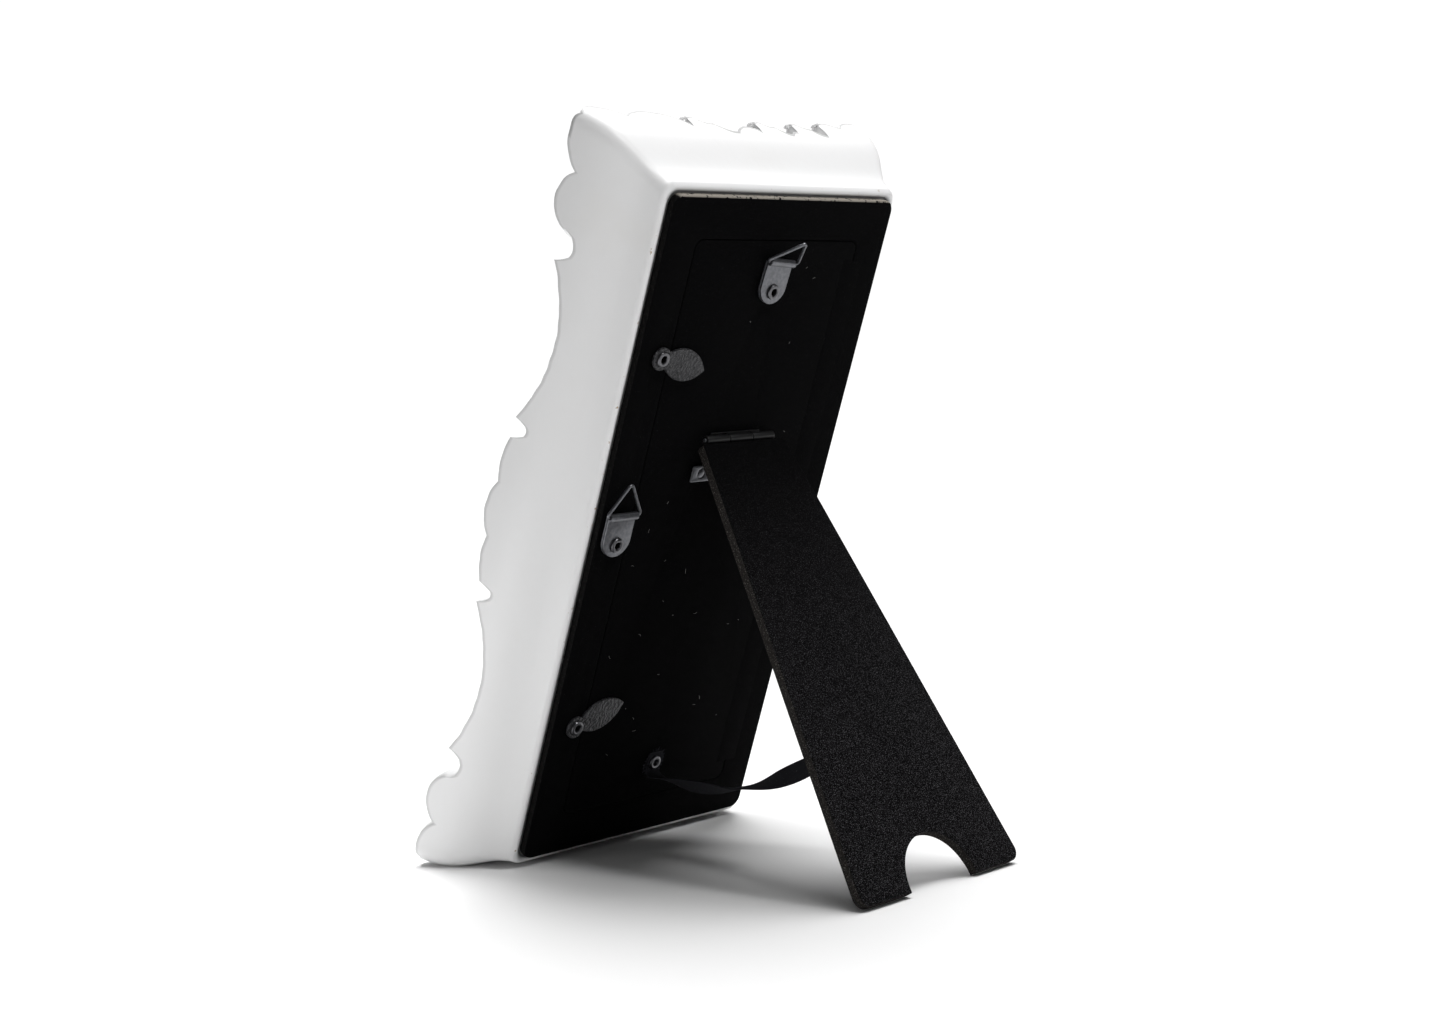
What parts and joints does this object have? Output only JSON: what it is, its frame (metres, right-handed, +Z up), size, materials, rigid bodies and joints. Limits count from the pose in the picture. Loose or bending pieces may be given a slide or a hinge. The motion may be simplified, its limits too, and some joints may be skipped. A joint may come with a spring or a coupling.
{
  "type": "photo_frame",
  "caption": "Free-standing photo frame with an ornate cast surround, flocked back with a door, easel leg, ribbon stay, turn buttons and wire-ring hangers",
  "frame": {"origin": "centre of the footprint on the table top, under the standing frame", "axes": "X across the frame, Y out of its back towards the leg, Z up"},
  "size_m": [0.1272, 0.1558, 0.2228],
  "materials": {
    "cast_resin": "satin white",
    "clear_glass": "clear",
    "photo_paper": "satin",
    "grey_card": "matt",
    "black_flock": "flocked",
    "black_ribbon": "woven",
    "zinc_steel": "satin plated",
    "hammered_steel": "hammered dark grey",
    "blacked_steel": "black enamel"
  },
  "bodies": {
    "frame": {"frame_moulding": "cast_resin", "glass_pane": "clear_glass", "photo_insert": "photo_paper", "backing_card": "grey_card", "back_surround": "black_flock", "back_door": "black_flock", "door_hinge_cloth": "black_flock", "hinge_base_plate": "zinc_steel", "hinge_pin": "zinc_steel", "hinge_rivet_left": "zinc_steel", "hinge_rivet_right": "zinc_steel", "stay_ribbon": "black_ribbon", "ribbon_eyelet_door": "zinc_steel", "button_eyelet_upper": "zinc_steel", "button_eyelet_lower": "zinc_steel", "hanger_eyelet_top": "zinc_steel", "hanger_eyelet_side": "zinc_steel"},
    "leg": {"easel_leg": "black_flock", "hinge_leaf": "blacked_steel", "ribbon_eyelet_leg": "zinc_steel"},
    "button_upper": {"turn_button_upper": "hammered_steel"},
    "button_lower": {"turn_button_lower": "hammered_steel"},
    "hanger_top": {"hanger_strap_top": "zinc_steel"},
    "hanger_side": {"hanger_strap_side": "zinc_steel"},
    "ring_top": {"d_ring_top": "zinc_steel"},
    "ring_side": {"d_ring_side": "zinc_steel"}
  },
  "joints": [
    {"name": "leg_hinge", "type": "hinge", "parent": "frame", "child": "leg", "pos_m": [0, 0.00655, 0.1276], "axis": [1, 0, 0], "range_deg": [-48, 4], "deforming": ["stay_ribbon"]},
    {"name": "button_upper_turn", "type": "hinge", "parent": "frame", "child": "button_upper", "pos_m": [0.0404, 0.01412, 0.15218], "axis": [0, 0.9342, -0.3567], "continuous": true},
    {"name": "button_lower_turn", "type": "hinge", "parent": "frame", "child": "button_lower", "pos_m": [0.0404, -0.02744, 0.04337], "axis": [0, 0.9342, -0.3567], "continuous": true},
    {"name": "hanger_top_turn", "type": "hinge", "parent": "frame", "child": "hanger_top", "pos_m": [0, 0.02073, 0.1709], "axis": [0, 0.9342, -0.3567], "range_deg": [-90, 90]},
    {"name": "ring_top_swing", "type": "hinge", "parent": "hanger_top", "child": "ring_top", "pos_m": [-0.00063, 0.02543, 0.17871], "axis": [-0.9976, -0.0249, -0.0652], "range_deg": [-38, 120]},
    {"name": "hanger_side_turn", "type": "hinge", "parent": "frame", "child": "hanger_side", "pos_m": [0.0421, -0.00663, 0.09924], "axis": [0, 0.9342, -0.3567], "range_deg": [-40, 95]},
    {"name": "ring_side_swing", "type": "hinge", "parent": "hanger_side", "child": "ring_side", "pos_m": [0.0421, -0.00193, 0.10708], "axis": [-1, 0, 0], "range_deg": [-3, 158]}
  ]
}
